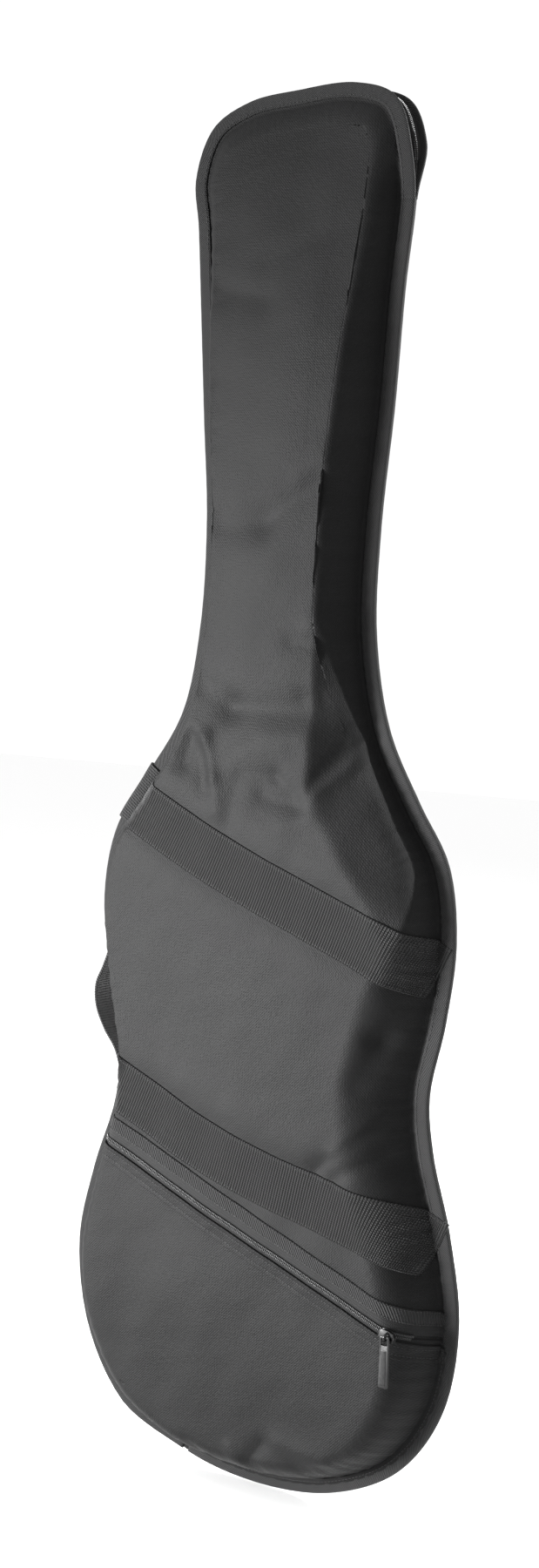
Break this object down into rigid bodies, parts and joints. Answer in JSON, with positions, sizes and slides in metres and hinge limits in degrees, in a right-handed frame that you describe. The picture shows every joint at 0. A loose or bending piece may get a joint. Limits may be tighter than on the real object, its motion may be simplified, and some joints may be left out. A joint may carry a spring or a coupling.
{
  "type": "padded gig bag",
  "caption": "Padded soft bag for an electric guitar, with a full-length zip, a zipped front pocket, diagonal webbing bands and a side carry handle.",
  "frame": {"origin": "under the middle of the bag, at the height of its lowest point", "axes": "+Z from the lower bout up to the headstock, -Y out of the front with the pocket, +X to the right of someone facing the front"},
  "size_m": [0.3538, 0.0842, 1.072],
  "materials": {
    "cover_fabric": "plain-woven charcoal nylon with a faint sheen",
    "foam": "closed-cell foam padding",
    "lining_fabric": "smooth black lining",
    "binding_tape": "black twill tape with a row of stitches",
    "webbing": "black ribbed webbing",
    "zip_tape": "black woven zip tape",
    "zip_coil": "black nylon coil",
    "black_metal": "black painted zinc, worn shiny on its edges"
  },
  "bodies": {
    "root": {"back_cover": "cover_fabric", "back_lining": "lining_fabric", "back_padding": "foam", "back_zip_binding": "binding_tape", "front_cover_fixed": "cover_fabric", "front_lining_fixed": "lining_fabric", "front_padding_fixed": "foam", "handle_anchor_lower": "webbing", "handle_anchor_upper": "webbing", "lower_band_fixed": "webbing", "main_zip_coil_back": "zip_coil", "main_zip_end_stop": "black_metal", "main_zip_tape_back": "zip_tape", "main_zip_top_stop": "black_metal", "pocket_panel_fixed": "cover_fabric", "pocket_trim_fixed": "binding_tape", "pocket_zip_coil_fixed": "zip_coil", "pocket_zip_tape_lower_fixed": "zip_tape", "pocket_zip_tape_upper_fixed": "zip_tape", "sewn_side_binding": "binding_tape", "upper_band_fixed": "webbing"},
    "front_flap": {"front_cover_flap": "cover_fabric", "front_lining_flap": "lining_fabric", "front_padding_flap": "foam", "front_zip_binding": "binding_tape", "lower_band_flap": "webbing", "main_zip_coil_front": "zip_coil", "main_zip_tape_front": "zip_tape", "pocket_panel_flap": "cover_fabric", "pocket_trim_flap": "binding_tape", "pocket_zip_coil_flap": "zip_coil", "pocket_zip_tape_lower_flap": "zip_tape", "pocket_zip_tape_upper_flap": "zip_tape", "upper_band_flap": "webbing", "upper_band_folded_end": "webbing"},
    "pocket_slider": {"pocket_slider": "black_metal"},
    "pocket_pull": {"pocket_slider_pull": "black_metal"},
    "upper_slider": {"main_zip_upper_slider": "black_metal"},
    "upper_pull": {"main_zip_upper_slider_pull": "black_metal"},
    "lower_slider": {"main_zip_lower_slider": "black_metal"},
    "lower_pull": {"main_zip_lower_slider_pull": "black_metal"},
    "handle": {"carry_handle": "webbing"}
  },
  "joints": [
    {"name": "flap_fold", "type": "hinge", "parent": "root", "child": "front_flap", "pos_m": [-0.05915, -0.0379, 0.005], "axis": [0.1488, 0, 0.9889], "range_deg": [0, 110]},
    {"name": "pocket_zip_slide", "type": "slide", "parent": "root", "child": "pocket_slider", "axis": [-0.9311, -0.0118, 0.3647], "range_m": [0, 0.165]},
    {"name": "pocket_pull_swing", "type": "hinge", "parent": "pocket_slider", "child": "pocket_pull", "pos_m": [0.14285, -0.0389, 0.15858], "axis": [-1, 0, 0], "range_deg": [-4, 150]},
    {"name": "upper_slider_slide", "type": "slide", "parent": "root", "child": "upper_slider", "axis": [-0.0748, 0, 0.9972], "range_m": [0, 0.18]},
    {"name": "upper_pull_swing", "type": "hinge", "parent": "upper_slider", "child": "upper_pull", "pos_m": [-0.07165, 0.01255, 0.78066], "axis": [0, 1, 0], "range_deg": [0, 150]},
    {"name": "lower_slider_slide", "type": "slide", "parent": "root", "child": "lower_slider", "axis": [-0.0366, 0, -0.9993], "range_m": [0, 0.045]},
    {"name": "lower_pull_swing", "type": "hinge", "parent": "lower_slider", "child": "lower_pull", "pos_m": [-0.06979, 0.01255, 0.73817], "axis": [0, 1, 0], "range_deg": [0, 150]},
    {"name": "handle_swing", "type": "hinge", "parent": "root", "child": "handle", "pos_m": [-0.14515, 0.0421, 0.299], "axis": [0.1072, 0, -0.9942], "range_deg": [0, 80]}
  ]
}
